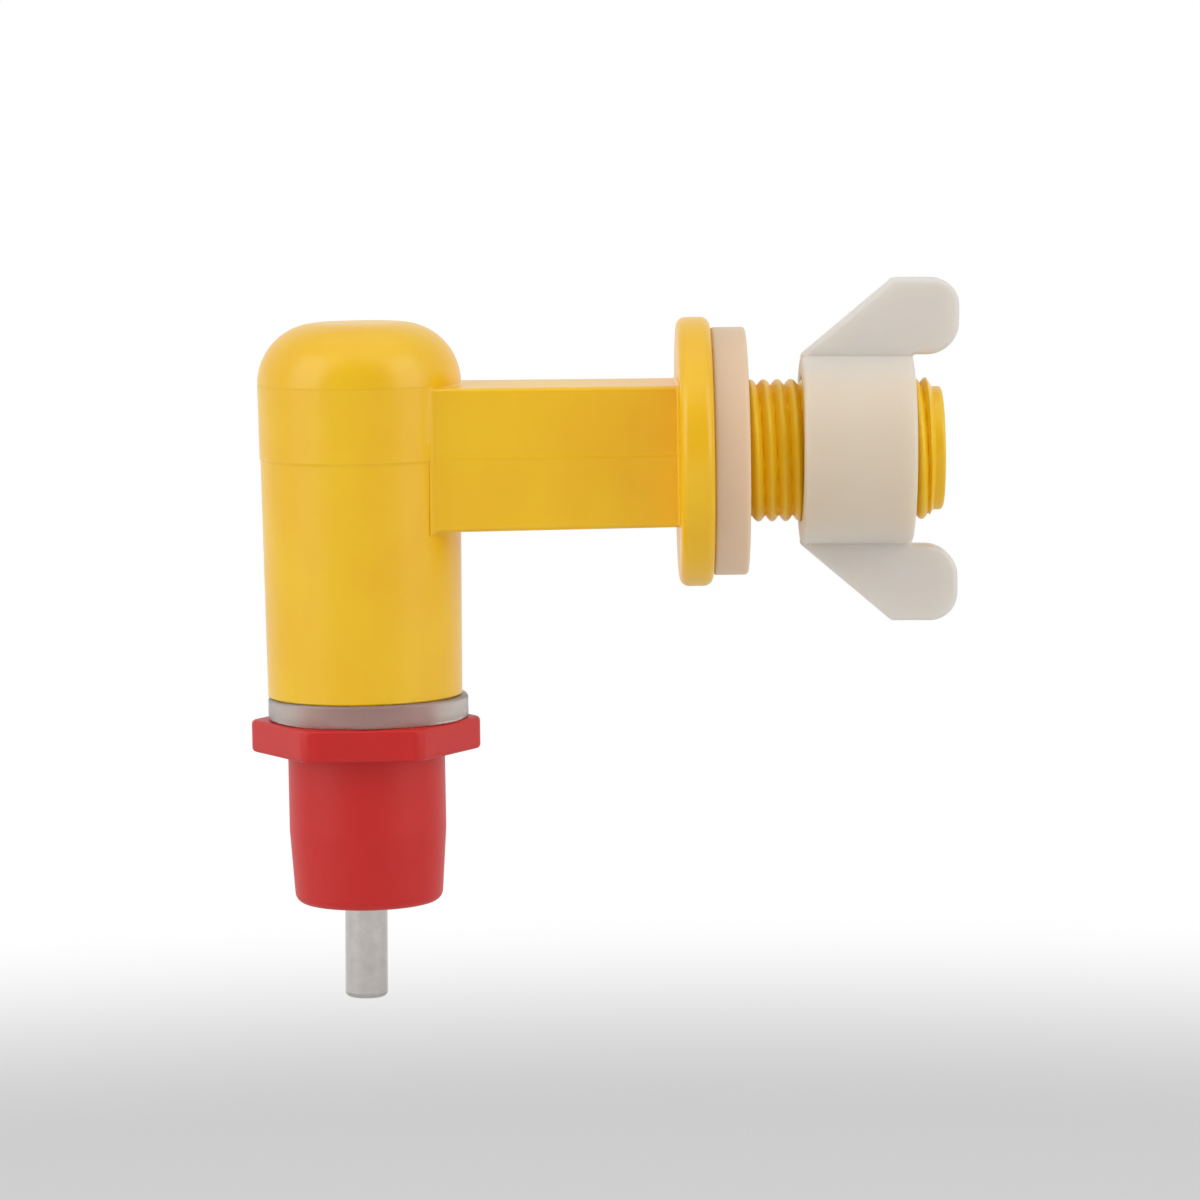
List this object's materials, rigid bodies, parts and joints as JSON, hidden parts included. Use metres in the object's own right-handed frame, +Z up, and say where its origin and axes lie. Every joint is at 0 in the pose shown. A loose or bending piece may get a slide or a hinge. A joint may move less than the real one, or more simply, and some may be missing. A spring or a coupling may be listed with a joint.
{
  "type": "poultry nipple drinker",
  "caption": "Elbow with a threaded tail, washer and wing nut that clamps through a bucket wall and hangs a nipple valve with a steel trigger pin.",
  "frame": {"origin": "centre of the washer's sealing face, on the axis of the threaded tail", "axes": "+X out along the tail, away from the barrel; +Z up, against the way the trigger pin hangs"},
  "size_m": [0.0656, 0.0248, 0.0659],
  "materials": {
    "yellow_plastic": "glossy moulded",
    "milky_plastic": "semi-gloss, slightly translucent",
    "washer_rubber": "matt, slightly translucent",
    "clear_rubber": "clear",
    "red_plastic": "satin moulded",
    "seal_rubber": "matt",
    "steel": "turned and polished",
    "white_plastic": "matt"
  },
  "bodies": {
    "drinker": {"elbow_body": "yellow_plastic", "flange_washer": "washer_rubber", "neck_gasket": "clear_rubber", "nipple_housing": "red_plastic", "pin_seal": "seal_rubber", "seat_sleeve": "steel", "retaining_cap": "white_plastic"},
    "stem": {"upper_stem": "steel"},
    "pin": {"trigger_pin": "steel"},
    "nut": {"wing_nut": "milky_plastic"}
  },
  "joints": [
    {"name": "pin_lift", "type": "slide", "parent": "drinker", "child": "stem", "axis": [0, 0, 1], "range_m": [0, 0.0012]},
    {"name": "pin_tilt", "type": "hinge", "parent": "stem", "child": "pin", "pos_m": [-0.03547, 0, -0.02235], "axis": [0, 1, 0], "range_deg": [-7.9, 6.1]},
    {"name": "nut_slide", "type": "slide", "parent": "drinker", "child": "nut", "axis": [1, 0, 0], "range_m": [-0.0048, 0.02]}
  ]
}
